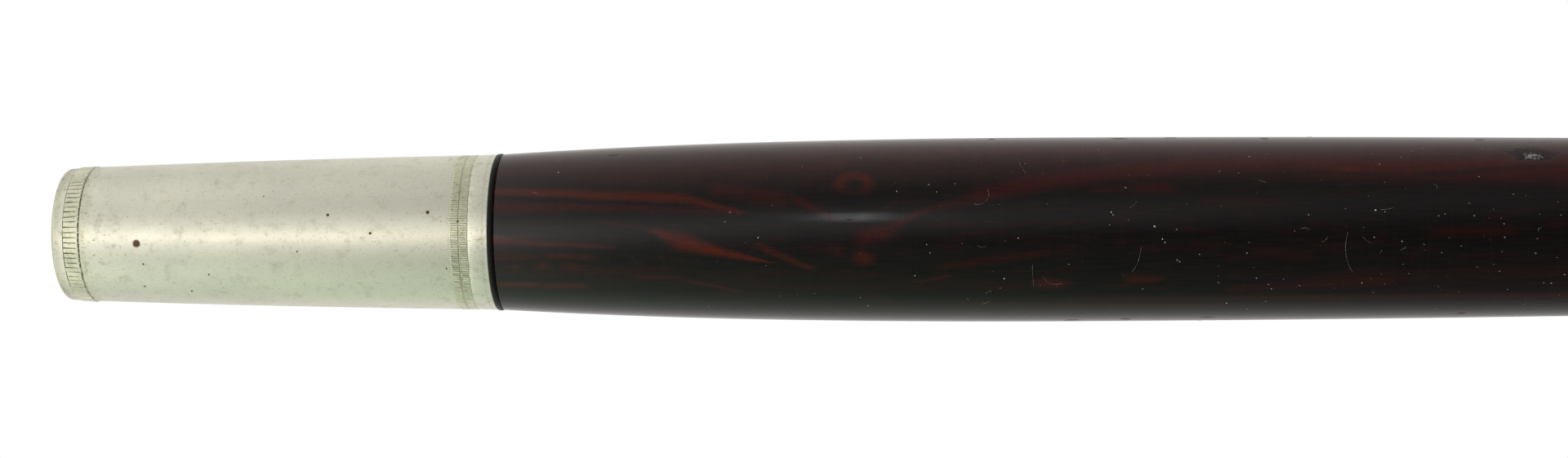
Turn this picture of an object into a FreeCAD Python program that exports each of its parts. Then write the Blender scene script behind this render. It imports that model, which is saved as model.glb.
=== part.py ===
import FreeCAD, Part
import os

import Sketcher

# A one-piece transverse fife: a turned hardwood body with a straight bore, and at each end a long
# conical nickel-silver ferrule over a lapped tenon. Millimetres. X runs along the bore from the
# head end to the foot end, the origin is on the bore's axis halfway along, +Z is up, and the
# embouchure and finger holes face +Y.

SIZES = (
    ("overall_length", 384.0, "head rim to foot rim"),
    ("bore_radius", 6.2, "straight sounding bore, from the cork's chamber to the foot"),
    ("chamber_radius", 6.5, "head chamber, opened a little so that the cork goes in from the head"),
    ("chamber_length", 69.0, "rim to the step where the chamber ends"),
    # metal ends, the same at the head and at the foot
    ("ferrule_length", 52.3, "rim to the end of the collar"),
    ("rim_radius", 8.0, "tip ring at the rim"),
    ("rim_rounding", 0.5, "rounded outer edge of the rim"),
    ("flange_thickness", 0.8, "end wall of the tip ring over the wood"),
    ("tip_ring_length", 3.4, "rim to the inner edge of the tip ring"),
    ("tip_ring_radius", 8.24, "tip ring at its inner edge"),
    ("tip_seat_depth", 0.5, "how far the sleeve steps down under the tip ring"),
    ("sleeve_tip_radius", 8.17, "outside of the cone at the tip ring"),
    ("sleeve_collar_radius", 9.37, "outside of the cone at the collar"),
    ("sleeve_swell", 0.12, "how far the cone bulges from straight at mid length"),
    ("collar_length", 4.5, "milled band and plain band together"),
    ("milled_length", 2.15, "milled part of the collar"),
    ("milled_radius", 9.38, "outside of the milled part"),
    ("collar_radius", 9.47, "outside of the plain part"),
    ("collar_rounding", 0.08, "broken edges of the collar"),
    ("collar_seat_depth", 0.42, "how far the sleeve steps down under the collar"),
    # wooden tenon inside a ferrule
    ("tenon_tip_radius", 7.1, "tenon at the flange"),
    ("tenon_root_radius", 8.35, "tenon at the shoulder"),
    ("lapping_start", 14.0, "rim to the first turn of thread"),
    ("lapping_length", 22.0, "length of the thread lapping"),
    ("lapping_depth", 0.35, "depth of the groove for the thread"),
    ("lapping_clearance", 0.02, "thread to the inside of the sleeve"),
    # black ring between collar and wood
    ("ring_width", 0.65, "along the bore"),
    ("ring_radius", 9.58, "outside, a little proud of its neighbours"),
    ("ring_crown", 0.12, "how far its edges fall away from its crown"),
    # outline of the wood, from the head shoulder to the foot shoulder
    ("shoulder_radius", 9.52, "wood beside each black ring"),
    ("shoulder_chamfer", 0.12, "broken edge of the shoulder"),
    ("swell_place", 84.5, "rim to where the front curve eases"),
    ("swell_radius", 10.83, "radius there"),
    ("belly_place", 120.0, "rim to the thickest place"),
    ("belly_radius", 11.24, "greatest radius"),
    ("taper_place", 172.0, "rim to where the long straight taper starts"),
    # holes
    ("embouchure_place", 76.0, "rim to the middle of the mouth hole"),
    ("embouchure_length", 10.6, "along the bore"),
    ("embouchure_width", 9.4, "across the bore"),
    ("first_hole_place", 204.0, "rim to the first finger hole"),
    ("hole_pitch", 21.0, "between holes of one hand"),
    ("hand_gap", 25.0, "between the two hands"),
    ("hole_a_bore", 6.4, "first and fourth finger holes, across"),
    ("hole_b_bore", 7.2, "second and fifth"),
    ("hole_c_bore", 5.6, "third and sixth"),
    # cork in the head
    ("cork_length", 16.0, "along the bore"),
    ("cork_setback", 12.4, "mouth hole's middle to the cork's face"),
    ("cork_clearance", 0.03, "cork to bore, all round"),
    ("cork_chamfer", 0.6, "broken edges of the cork"),
)

HALF_ROOT = 0.70710678  # sine of 45 degrees, for the middle of a quarter-round
FULL_TURN = 360.0
BEYOND = 3.0  # how far a hole's cutter runs past the wood


class Term:
    """A length worked out from the sheet: its expression, and its value for the first guess."""

    def __init__(self, text, value):
        self.text, self.value = text, value

    def __add__(self, other):
        other = as_term(other)
        return Term(f"({self.text} + {other.text})", self.value + other.value)

    def __sub__(self, other):
        other = as_term(other)
        return Term(f"({self.text} - {other.text})", self.value - other.value)

    def __mul__(self, other):
        other = as_term(other)
        return Term(f"({self.text} * {other.text})", self.value * other.value)

    def __truediv__(self, other):
        other = as_term(other)
        return Term(f"({self.text} / {other.text})", self.value / other.value)

    def __neg__(self):
        return Term(f"(0 - {self.text})", -self.value)


def as_term(thing):
    return thing if isinstance(thing, Term) else Term(f"{float(thing):.8f}", float(thing))


doc = FreeCAD.newDocument("fife")
sheet = doc.addObject("Spreadsheet::Sheet", "Sizes")
for row, (alias, value, meaning) in enumerate(SIZES, start=1):
    sheet.set(f"A{row}", alias)
    sheet.set(f"B{row}", str(value))
    sheet.setAlias(f"B{row}", alias)
    sheet.set(f"C{row}", meaning)
doc.recompute()
size = {alias: Term(f"Sizes.{alias}", value) for alias, value, meaning in SIZES}


def plane(body, role):
    return next(feature for feature in body.Origin.OriginFeatures if feature.Role == role)


def new_sketch(body, name):
    """A sketch through the bore's axis: its X is along the bore, its Y is the radius."""
    sketch = body.newObject("Sketcher::SketchObject", name)
    sketch.AttachmentSupport = [(plane(body, "XZ_Plane"), "")]
    sketch.MapMode = "FlatFace"
    return sketch


def bind(sketch, kind, refs, term):
    """Add a dimension to a sketch and tie it to the sheet."""
    row = sketch.addConstraint(Sketcher.Constraint(kind, *refs, term.value))
    name = f"size_{row}"
    sketch.renameConstraint(row, name)
    sketch.setExpression(f"Constraints.{name}", term.text)


def hold(sketch, geometry, position, point):
    """Tie a point of a sketch to its place along the bore and its radius."""
    bind(sketch, "DistanceX", (geometry, position), point[0])
    bind(sketch, "DistanceY", (geometry, position), point[1])


def spot(point):
    return FreeCAD.Vector(point[0].value, point[1].value, 0)


def turns_left(first, middle, last):
    """Whether three points in a row go round anticlockwise."""
    return (middle - first).cross(last - middle).z > 0


def outline(sketch, corners):
    """Draw a closed outline. Each corner is (along, radius), or (along, radius, via) where the edge
    to the next corner is an arc through the point via."""
    for number, corner in enumerate(corners):
        following = corners[(number + 1) % len(corners)]
        start, end = corner, following
        if len(corner) == 3:
            via = corner[2]
            # a sketch keeps its arcs anticlockwise, so one that goes the other way is drawn back
            if not turns_left(spot(corner), spot(via), spot(following)):
                start, end = following, corner
            edge = sketch.addGeometry(Part.Arc(spot(start), spot(via), spot(end)), False)
            middle = sketch.addGeometry(Part.Point(spot(via)), True)
            hold(sketch, middle, 1, via)
            sketch.addConstraint(Sketcher.Constraint("PointOnObject", middle, 1, edge))
        else:
            edge = sketch.addGeometry(Part.LineSegment(spot(start), spot(end)), False)
        hold(sketch, edge, 1, start)
        hold(sketch, edge, 2, end)


def turned(label, corners):
    """A piece turned about the bore's axis from a closed outline."""
    body = doc.addObject("PartDesign::Body", label)
    body.Label = label
    sketch = new_sketch(body, f"{label}_outline")
    outline(sketch, corners)
    doc.recompute()
    turn = body.newObject("PartDesign::Revolution", f"{label}_turning")
    turn.Profile = sketch
    turn.ReferenceAxis = (sketch, ["H_Axis"])
    turn.Angle = FULL_TURN
    doc.recompute()
    return body


def on_line(start, end, along):
    """The radius at a place along a straight cone between two points."""
    return start[1] + (end[1] - start[1]) * (along - start[0]) / (end[0] - start[0])


# ---- lines that more than one piece shares, measured from the rim of an end ----------------------

tenon_tip = (size["flange_thickness"], size["tenon_tip_radius"])
tenon_root = (size["ferrule_length"] + size["ring_width"], size["tenon_root_radius"])


def tenon_radius(along):
    return on_line(tenon_tip, tenon_root, along)


collar_start = size["ferrule_length"] - size["collar_length"]
tip_seat_radius = size["sleeve_tip_radius"] - size["tip_seat_depth"]
collar_seat_radius = size["sleeve_collar_radius"] - size["collar_seat_depth"]
lapping_end = size["lapping_start"] + size["lapping_length"]


def lapping_floor(along):
    return tenon_radius(along) - size["lapping_depth"]


def tip_ring(label, hole):
    """End ring with the coarse milling: an end wall over the wood, pierced by the hole, and a skirt
    over the sleeve."""
    rim, rounding = size["rim_radius"], size["rim_rounding"]
    shrink = rounding * (1 - HALF_ROOT)
    zero = as_term(0)
    return turned(label, [
        (zero, hole),
        (zero, rim - rounding, (shrink, rim - shrink)),
        (rounding, rim),
        (size["tip_ring_length"], size["tip_ring_radius"]),
        (size["tip_ring_length"], tip_seat_radius),
        (size["flange_thickness"], tip_seat_radius),
        (size["flange_thickness"], hole),
    ])


def sleeve(label):
    """Conical tube over the tenon, stepped down under the tip ring and under the collar."""
    front = (size["tip_ring_length"], size["sleeve_tip_radius"])
    back = (collar_start, size["sleeve_collar_radius"])
    middle = (front[0] + back[0]) / 2
    bulge = (middle, (front[1] + back[1]) / 2 + size["sleeve_swell"])
    end = size["ferrule_length"]
    return turned(label, [
        tenon_tip,
        (size["flange_thickness"], tip_seat_radius),
        (size["tip_ring_length"], tip_seat_radius),
        (front[0], front[1], bulge),
        back,
        (collar_start, collar_seat_radius),
        (end, collar_seat_radius),
        (end, tenon_radius(end)),
    ])


def collar(label):
    """Ring at the inner end of the ferrule: a milled band, then a plain band a little proud of it."""
    end, edge = size["ferrule_length"], size["collar_rounding"]
    step = collar_start + size["milled_length"]
    return turned(label, [
        (collar_start, collar_seat_radius),
        (collar_start, size["milled_radius"] - edge),
        (collar_start + edge, size["milled_radius"]),
        (step, size["milled_radius"]),
        (step + edge, size["collar_radius"]),
        (end - edge, size["collar_radius"]),
        (end, size["collar_radius"] - edge),
        (end, collar_seat_radius),
    ])


def shoulder_ring(label):
    """Black washer on the tenon, with a rounded outside, between the collar and the wood."""
    start = size["ferrule_length"]
    end = start + size["ring_width"]
    edge = size["ring_radius"] - size["ring_crown"]
    return turned(label, [
        (start, tenon_radius(start)),
        (start, edge, (start + size["ring_width"] / 2, size["ring_radius"])),
        (end, edge),
        tenon_root,
    ])


def lapping(label):
    """Waxed thread wound in a groove of the tenon, which grips the sleeve."""
    start, end, gap = size["lapping_start"], lapping_end, size["lapping_clearance"]
    return turned(label, [
        (start, lapping_floor(start)),
        (start, tenon_radius(start) - gap),
        (end, tenon_radius(end) - gap),
        (end, lapping_floor(end)),
    ])


PLAIN_ENDS = {
    "ferrule": sleeve,
    "collar": collar,
    "shoulder_ring": shoulder_ring,
    "lapping": lapping,
}


def wood_outline():
    """Corners of the body's section from the head tenon, over the belly, to the foot tenon."""
    length, chamfer = size["overall_length"], size["shoulder_chamfer"]
    bore = size["bore_radius"]
    shoulder = tenon_root[0]
    shoulder_low = size["shoulder_radius"] - chamfer
    start = (shoulder + chamfer, size["shoulder_radius"])
    swell = (size["swell_place"], size["swell_radius"])
    belly = (size["belly_place"], size["belly_radius"])
    finish = (length - start[0], start[1])
    # two shallow arcs meet the belly level, and each next stretch leaves them without a corner
    front_run, rise = belly[0] - swell[0], belly[1] - swell[1]
    slope = rise * 2 / front_run
    head_run = swell[0] - start[0]
    head_middle = (swell[1] * 3 + start[1]) / 4 - slope * head_run / 4
    fall_run = size["taper_place"] - belly[0]
    taper_run = finish[0] - size["taper_place"]
    taper_radius = (belly[1] * taper_run * 2 + finish[1] * fall_run) / (taper_run * 2 + fall_run)
    taper = (size["taper_place"], taper_radius)
    arcs = [
        (start[0], start[1], ((start[0] + swell[0]) / 2, head_middle)),
        (swell[0], swell[1], ((swell[0] + belly[0]) / 2, belly[1] - rise / 4)),
        (belly[0], belly[1], ((belly[0] + taper[0]) / 2, belly[1] - (belly[1] - taper[1]) / 4)),
        taper,
        finish,
    ]
    tenon = [
        tenon_tip,
        (size["lapping_start"], tenon_radius(size["lapping_start"])),
        (size["lapping_start"], lapping_floor(size["lapping_start"])),
        (lapping_end, lapping_floor(lapping_end)),
        (lapping_end, tenon_radius(lapping_end)),
        tenon_root,
        (shoulder, shoulder_low),
    ]
    other_tenon = [(length - along, radius) for along, radius in reversed(tenon)]
    inside = [
        (length - size["flange_thickness"], bore),
        (size["chamber_length"], bore),
        (size["chamber_length"], size["chamber_radius"]),
        (size["flange_thickness"], size["chamber_radius"]),
    ]
    return tenon + arcs + other_tenon + inside


def bore_into(body, name, draw):
    """Cut holes from the bore's axis out through the +Y side, drawn by draw on a new sketch."""
    before = body.Shape.Volume
    sketch = new_sketch(body, f"{name}_sketch")
    draw(sketch)
    doc.recompute()
    cut = body.newObject("PartDesign::Pocket", name)
    cut.Profile = sketch
    depth = size["belly_radius"] + BEYOND
    cut.Length = depth.value
    cut.setExpression("Length", depth.text)
    cut.Reversed = False
    doc.recompute()
    removed = before - body.Shape.Volume
    if removed <= 0:
        raise SystemExit(f"{name} cuts nothing")
    return removed


def draw_embouchure(sketch):
    """An oval with its long axis along the bore."""
    centre = (size["embouchure_place"], as_term(0))
    long_half, short_half = size["embouchure_length"] / 2, size["embouchure_width"] / 2
    middle = spot(centre)
    tip = middle + FreeCAD.Vector(long_half.value, 0, 0)
    side = middle + FreeCAD.Vector(0, short_half.value, 0)
    oval = sketch.addGeometry(Part.Ellipse(tip, side, middle), False)
    sketch.exposeInternalGeometry(oval)
    long_axis, short_axis = oval + 1, oval + 2
    hold(sketch, oval, 3, centre)
    sketch.addConstraint(Sketcher.Constraint("Horizontal", long_axis))
    bind(sketch, "Distance", (long_axis, 1, long_axis, 2), size["embouchure_length"])
    bind(sketch, "Distance", (short_axis, 1, short_axis, 2), size["embouchure_width"])


def finger_holes():
    """Place and width of each finger hole, three for each hand."""
    widths = [size["hole_a_bore"], size["hole_b_bore"], size["hole_c_bore"]]
    hand_reach = size["hole_pitch"] * (len(widths) - 1) + size["hand_gap"]
    for hand in range(2):
        for finger, width in enumerate(widths):
            yield size["first_hole_place"] + hand_reach * hand + size["hole_pitch"] * finger, width


def draw_finger_holes(sketch):
    for place, width in finger_holes():
        centre = (place, as_term(0))
        normal = FreeCAD.Vector(0, 0, 1)
        ring = sketch.addGeometry(Part.Circle(spot(centre), normal, width.value / 2), False)
        hold(sketch, ring, 3, centre)
        bind(sketch, "Diameter", (ring,), width)


def place_at_end(body, end):
    """Set a piece at the head as drawn, or at the foot, turned half round the upright axis."""
    half = size["overall_length"] / 2
    shift = -half if end == "head" else half
    turn = 0 if end == "head" else 180
    body.Placement = FreeCAD.Placement(
        FreeCAD.Vector(shift.value, 0, 0), FreeCAD.Rotation(FreeCAD.Vector(0, 0, 1), turn)
    )
    body.setExpression("Placement.Base.x", shift.text)


def cork(label):
    """Cork that closes the bore on the head side of the mouth hole."""
    face = size["embouchure_place"] - size["cork_setback"]
    start, chamfer = face - size["cork_length"], size["cork_chamfer"]
    radius, zero = size["chamber_radius"] - size["cork_clearance"], as_term(0)
    return turned(label, [
        (start, zero),
        (start, radius - chamfer),
        (start + chamfer, radius),
        (face - chamfer, radius),
        (face, radius - chamfer),
        (face, zero),
    ])


def write_step(pieces):
    """Check every object and every shape, and only then write one file for each piece."""
    doc.recompute()
    for thing in doc.Objects:
        if "Invalid" in thing.State or "Error" in thing.State:
            raise SystemExit(f"{thing.Label} did not build: {thing.State}")
    for piece in pieces:
        if piece.Shape.isNull() or not piece.Shape.isValid() or len(piece.Shape.Solids) != 1:
            raise SystemExit(f"{piece.Label} is not one valid solid")
    os.makedirs("parts", exist_ok=True)
    for piece in pieces:
        piece.Shape.exportStep(f"parts/{piece.Label}.step")
        box = piece.Shape.optimalBoundingBox()
        print(f"{piece.Label:20s} {piece.Shape.Volume:10.1f} mm3  x {box.XMin:8.2f} {box.XMax:8.2f}"
              f"  r {box.ZMax:6.2f}")


wood = turned("wood_body", wood_outline())
bore_into(wood, "embouchure", draw_embouchure)
bore_into(wood, "finger_holes", draw_finger_holes)
stopper = cork("cork_stopper")
pieces = [wood, stopper]
for piece in pieces:
    place_at_end(piece, "head")
for end, hole in (("head", size["chamber_radius"]), ("foot", size["bore_radius"])):
    end_pieces = [tip_ring(f"{end}_tip_ring", hole)]
    end_pieces += [make(f"{end}_{part_name}") for part_name, make in PLAIN_ENDS.items()]
    for piece in end_pieces:
        place_at_end(piece, end)
    pieces += end_pieces
write_step(pieces)
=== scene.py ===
import math
import random

import bmesh
import bpy
from mathutils import Matrix, Vector


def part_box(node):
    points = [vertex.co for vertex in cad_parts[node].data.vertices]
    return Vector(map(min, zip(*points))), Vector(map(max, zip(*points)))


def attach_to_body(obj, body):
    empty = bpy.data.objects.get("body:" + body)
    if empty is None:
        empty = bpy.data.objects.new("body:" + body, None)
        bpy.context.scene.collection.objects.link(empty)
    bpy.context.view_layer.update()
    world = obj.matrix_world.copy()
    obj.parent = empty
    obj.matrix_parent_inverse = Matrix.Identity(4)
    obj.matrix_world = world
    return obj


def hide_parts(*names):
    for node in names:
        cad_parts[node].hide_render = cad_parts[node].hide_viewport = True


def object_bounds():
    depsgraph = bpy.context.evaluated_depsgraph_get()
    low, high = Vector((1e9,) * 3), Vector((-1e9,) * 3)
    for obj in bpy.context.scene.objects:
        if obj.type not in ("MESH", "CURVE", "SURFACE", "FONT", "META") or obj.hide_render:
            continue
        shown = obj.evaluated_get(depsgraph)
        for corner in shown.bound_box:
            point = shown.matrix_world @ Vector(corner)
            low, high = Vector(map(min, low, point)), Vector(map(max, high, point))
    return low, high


# An old wooden fife: polished rosewood body, nickel-silver ferrules with milled rings, black
# shoulder rings, waxed thread lapping and a cork. Metres; X runs along the bore, the head is at -X,
# and the mouth hole and finger holes face +Y.

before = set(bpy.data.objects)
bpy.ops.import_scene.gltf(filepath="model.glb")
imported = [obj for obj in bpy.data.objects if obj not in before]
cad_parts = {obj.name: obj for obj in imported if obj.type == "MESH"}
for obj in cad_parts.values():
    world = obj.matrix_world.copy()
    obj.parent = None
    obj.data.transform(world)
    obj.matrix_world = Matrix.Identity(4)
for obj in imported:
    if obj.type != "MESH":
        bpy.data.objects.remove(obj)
cad_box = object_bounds()

MM = 0.001

# ---- places, from the frame ----

HEAD_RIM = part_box("head_tip_ring")[0].x
FOOT_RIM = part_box("foot_tip_ring")[1].x
RING_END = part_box("head_tip_ring")[1].x - HEAD_RIM
FERRULE_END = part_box("head_collar")[1].x - HEAD_RIM
COLLAR_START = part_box("head_collar")[0].x - HEAD_RIM
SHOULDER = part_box("head_shoulder_ring")[1].x - HEAD_RIM
WOOD_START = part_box("wood_body")[0].x - HEAD_RIM
LENGTH = FOOT_RIM - HEAD_RIM
BELLY_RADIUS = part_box("wood_body")[1].z
COLLAR_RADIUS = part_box("head_collar")[1].z
SLEEVE_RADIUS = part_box("head_ferrule")[1].z
RING_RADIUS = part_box("head_tip_ring")[1].z
BLACK_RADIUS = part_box("head_shoulder_ring")[1].z

# ---- shapes the boxes don't give ----

BORE_RADIUS = 6.2 * MM
CHAMBER_RADIUS = 6.5 * MM
CHAMBER_END = 69.0 * MM
RIM_RADIUS = 8.0 * MM
RIM_ROUNDING = 0.5 * MM
RIM_CHAMFER = 0.1 * MM  # round the hole in the rim's face
RING_SLOPE = (RING_RADIUS - RIM_RADIUS) / (RING_END - RIM_ROUNDING)
FLANGE = 0.8 * MM
SLEEVE_TIP_RADIUS = 8.17 * MM
SLEEVE_SWELL = 0.12 * MM
SEAT_DEPTH = 0.5 * MM
RING_STEP = 0.02 * MM  # end ring's edge under the sleeve's
COLLAR_SEAT_DEPTH = 0.42 * MM
COLLAR_STEP = 0.005 * MM  # collar's edge under the sleeve's
COLLAR_EDGE = (0.09 * MM, 0.05 * MM)  # length and depth of the broken edge beside the black ring
PLAIN_BAND = (  # place from the start of the collar, rise above the milled rows, in millimetres
    (2.2, 0.0), (2.6, 0.024), (3.0, 0.044), (3.4, 0.060), (3.8, 0.070),
)
BLACK_CROWN = 0.12 * MM
TENON_TIP_RADIUS = 7.1 * MM
TENON_ROOT_RADIUS = 8.35 * MM
SHOULDER_RADIUS = 9.52 * MM
SHOULDER_EDGE = 0.12 * MM
SWELL = (84.5 * MM, 10.83 * MM)  # place and radius where the outline's first two curves meet
BELLY_PLACE = 120.0 * MM
TAPER_PLACE = 172.0 * MM  # from here to the foot the taper is straight
MOUTH_HOLE = (76.0 * MM, 10.6 * MM, 9.4 * MM)  # place, length, width
FIRST_HOLE = 204.0 * MM
HOLE_PITCH = 21.0 * MM
HAND_GAP = 25.0 * MM
HOLE_WIDTHS = (6.4 * MM, 7.2 * MM, 5.6 * MM)

# milling
COARSE_BAND = (1.6 * MM, 3.3 * MM)
COARSE_TEETH = 82
COARSE_DEPTH = 0.11 * MM
COARSE_WEAR = 0.16
BAND_SLOPE = 0.16 * MM  # half the length of the slope at the start of the sunk band
FINE_ROWS = ((0.12 * MM, 0.98 * MM), (1.24 * MM, 2.08 * MM))  # from the start of the collar
FINE_TEETH = 208
FINE_DEPTH = 0.05 * MM
FINE_WEAR = 0.15
FINE_LEAN = 0.018  # slope of the teeth's tops, in radians
ROW_CREST = SLEEVE_RADIUS + 0.01 * MM
ROW_LIP = (0.05 * MM, 0.08 * MM)  # how far the slope at a row's edge reaches out of it and into it
TEETH_REACH = 1.20  # length of the teeth over that of their band, so that their ends sink in
TEETH_ANGLE = 15  # degrees, small because the teeth are low and their edges have to stay sharp
TOOTH_TOP = 0.86  # size of a tooth's top over that of its foot
TOOTH_SKEW = 0.05  # radians, the most that a tooth stands askew

EDGE_ANGLE = 30  # degrees, for the other turned pieces

# faces round a turned piece
AROUND = 192
AROUND_END_RING = 340
AROUND_COLLAR = 320

# ---- the view ----

ELEVATION = math.radians(60)
TOWARDS = Vector((0, -math.cos(ELEVATION), math.sin(ELEVATION)))
UPWARDS = Vector((0, math.sin(ELEVATION), math.cos(ELEVATION)))


# ==== node graphs ====

class Value:
    """A node's output, which adds Math nodes when it is used in a sum."""

    def __init__(self, graph, socket):
        self.graph, self.socket = graph, socket

    def math(self, operation, *others):
        inputs = dict(enumerate((self, *others)))
        return self.graph.node("ShaderNodeMath", {"operation": operation}, inputs)

    def __add__(self, other):
        return self.math("ADD", other)

    def __sub__(self, other):
        return self.math("SUBTRACT", other)

    def __mul__(self, other):
        return self.math("MULTIPLY", other)

    def __truediv__(self, other):
        return self.math("DIVIDE", other)

    def __rsub__(self, other):
        return self.graph.node("ShaderNodeMath", {"operation": "SUBTRACT"}, {0: other, 1: self})

    def __rtruediv__(self, other):
        return self.graph.node("ShaderNodeMath", {"operation": "DIVIDE"}, {0: other, 1: self})

    __radd__ = __add__
    __rmul__ = __mul__

    def other(self, name):
        """Another output of the same node."""
        return Value(self.graph, self.socket.node.outputs[name])

    def clamp(self):
        return self.graph.node("ShaderNodeClamp", {}, {0: self})

    def unsigned(self):
        return self.math("ABSOLUTE")

    def squared(self):
        return self.math("POWER", 2.0)

    def root(self):
        return self.math("SQRT")

    def bigger(self, other):
        return self.math("MAXIMUM", other)

    def smaller(self, other):
        return self.math("MINIMUM", other)

    def step(self, low, high):
        """0 below low, 1 above high, smooth between. A high under low turns it round."""
        sockets = {"Value": self, "From Min": low, "From Max": high}
        return self.graph.node("ShaderNodeMapRange", {"interpolation_type": "SMOOTHSTEP"}, sockets)


class Graph:
    """Adds nodes to a node tree, for shaders and geometry alike."""

    def __init__(self, tree):
        self.tree = tree

    def node(self, kind, settings=None, inputs=None, out=0):
        """Make a node: its settings first, then a value or a link for each named input."""
        made = self.tree.nodes.new(kind)
        for name, setting in (settings or {}).items():
            setattr(made, name, setting)
        for name, given in (inputs or {}).items():
            if isinstance(given, Value):
                self.tree.links.new(given.socket, made.inputs[name])
            else:
                made.inputs[name].default_value = given
        return Value(self, made.outputs[out]) if made.outputs else None

    def vector(self, x, y, z):
        return self.node("ShaderNodeCombineXYZ", {}, {0: x, 1: y, 2: z})

    def axes(self, vector):
        """The three parts of a vector."""
        x = self.node("ShaderNodeSeparateXYZ", {}, {0: vector})
        return x, x.other(1), x.other(2)

    def dot(self, vector, direction):
        return self.node("ShaderNodeVectorMath", {"operation": "DOT_PRODUCT"}, {
            0: vector, 1: direction}, "Value")

    def noise(self, vector, scale, detail, rough):
        inputs = {"Vector": vector, "Scale": scale, "Detail": detail, "Roughness": rough}
        return self.node("ShaderNodeTexNoise", {}, inputs)

    def cells(self, vector, scale):
        return self.node("ShaderNodeTexVoronoi", {}, {"Vector": vector, "Scale": scale})

    def mix(self, factor, first, second):
        inputs = {0: factor, 6: first, 7: second}
        for key in (6, 7):
            if not isinstance(inputs[key], Value):
                inputs[key] = (*inputs[key], 1)
        return self.node("ShaderNodeMix", {"data_type": "RGBA"}, inputs, 2)

    def bump(self, height, distance, strength):
        inputs = {"Height": height, "Distance": distance, "Strength": strength}
        return self.node("ShaderNodeBump", {}, inputs)


class Surface(Graph):
    """A material being made: object coordinates in millimetres, and the shader that it ends in."""

    def __init__(self, name):
        self.material = bpy.data.materials.new(name)
        self.material.use_nodes = True
        super().__init__(self.material.node_tree)
        self.tree.nodes.clear()
        metres = self.node("ShaderNodeTexCoord", {}, {}, "Object")
        self.place = self.node("ShaderNodeVectorMath", {"operation": "SCALE"}, {
            0: metres, "Scale": 1 / MM})
        self.x, self.y, self.z = self.axes(self.place)

    def stretch(self, along, across):
        """Coordinates with one scale along the bore and another across it."""
        return self.vector(self.x * along, self.y * across, self.z * across)

    def grain(self, along, across, detail, rough):
        """Noise that is stretched or squeezed along the bore."""
        return self.noise(self.stretch(along, across), 1.0, detail, rough)

    def finish(self, **sockets):
        """End in a Principled shader. Underscores in names stand for spaces."""
        named = {name.replace("_", " "): given for name, given in sockets.items()}
        shader = self.node("ShaderNodeBsdfPrincipled", {}, named)
        self.node("ShaderNodeOutputMaterial", {}, {"Surface": shader})
        return self.material

    def along_head(self):
        """Distance from the head rim, in millimetres."""
        return self.x - HEAD_RIM / MM

    def height(self):
        """Distance above the axis as it shows from the front, in millimetres."""
        return self.dot(self.place, UPWARDS)

    def nearness(self):
        """Distance from the axis towards the front, in millimetres."""
        return self.dot(self.place, TOWARDS)

    def turn(self):
        """Place round the body as a length of arc, in millimetres, from the middle of the front."""
        return self.height().math("ARCTAN2", self.nearness()) * (BELLY_RADIUS / MM)

    def radius_out(self):
        """Distance from the middle of the bore, in millimetres."""
        return (self.y.squared() + self.z.squared()).root()

    def inward(self):
        """Distance from the nearer end's rim, in millimetres."""
        return (self.x - HEAD_RIM / MM).smaller(FOOT_RIM / MM - self.x)


def arc_place(along, height):
    """Arc length of a mark that shows at a height above the axis, seen from the front."""
    return math.asin(height / (wood_radius(along * MM) / MM)) * BELLY_RADIUS / MM


# ==== outlines ====

def between(first, last, steps):
    return [first + (last - first) * step / steps for step in range(steps + 1)]


def wood_radius(along):
    """Outline of the wood: two shallow curves up to the belly, one down, and a straight taper."""
    finish = LENGTH - SHOULDER - SHOULDER_EDGE
    slope = 2 * (BELLY_RADIUS - SWELL[1]) / (BELLY_PLACE - SWELL[0])
    if along < SWELL[0]:
        run = SWELL[0] - SHOULDER - SHOULDER_EDGE
        bend = (SHOULDER_RADIUS - SWELL[1] + slope * run) / run ** 2
        return SWELL[1] + slope * (along - SWELL[0]) + bend * (along - SWELL[0]) ** 2
    if along < BELLY_PLACE:
        bend = (BELLY_RADIUS - SWELL[1]) / (BELLY_PLACE - SWELL[0]) ** 2
        return BELLY_RADIUS - bend * (BELLY_PLACE - along) ** 2
    fall, run = TAPER_PLACE - BELLY_PLACE, finish - TAPER_PLACE
    taper = (2 * BELLY_RADIUS * run + SHOULDER_RADIUS * fall) / (2 * run + fall)
    if along < TAPER_PLACE:
        return BELLY_RADIUS - (BELLY_RADIUS - taper) * ((along - BELLY_PLACE) / fall) ** 2
    return taper + (SHOULDER_RADIUS - taper) * (along - TAPER_PLACE) / run


def sleeve_radius(along):
    """Outside of the conical sleeve, which swells a little at mid length."""
    share = (along - RING_END) / (COLLAR_START - RING_END)
    straight = SLEEVE_TIP_RADIUS + (SLEEVE_RADIUS - SLEEVE_TIP_RADIUS) * share
    return straight + 4 * SLEEVE_SWELL * share * (1 - share)


def tenon_radius(along):
    share = (along - FLANGE) / (SHOULDER - FLANGE)
    return TENON_TIP_RADIUS + (TENON_ROOT_RADIUS - TENON_TIP_RADIUS) * share


def ring_radius(along):
    return RIM_RADIUS + RING_SLOPE * (along - RIM_ROUNDING)


# ==== meshes ====

def new_object(name, mesh):
    made = bpy.data.objects.new(name, mesh)
    bpy.context.scene.collection.objects.link(made)
    return made


def turned(name, section, around, closed=True):
    """A mesh of (place, radius) points turned round the bore. A closed section makes a solid."""
    mesh = bpy.data.meshes.new(name)
    corners, faces = [], []
    for x, radius in section:
        for step in range(around):
            angle = math.tau * step / around
            corners.append((x, radius * math.cos(angle), radius * math.sin(angle)))
    rings = len(section)
    for ring in range(rings if closed else rings - 1):
        for step in range(around):
            here, there = ring * around, (ring + 1) % rings * around
            beside = (step + 1) % around
            faces.append((here + step, here + beside, there + beside, there + step))
    mesh.from_pydata(corners, [], faces)
    return mesh


def lathe(name, section, around=AROUND):
    mesh = turned(name, section, around)
    tidy_normals(mesh)
    return new_object(name, mesh)


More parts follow.
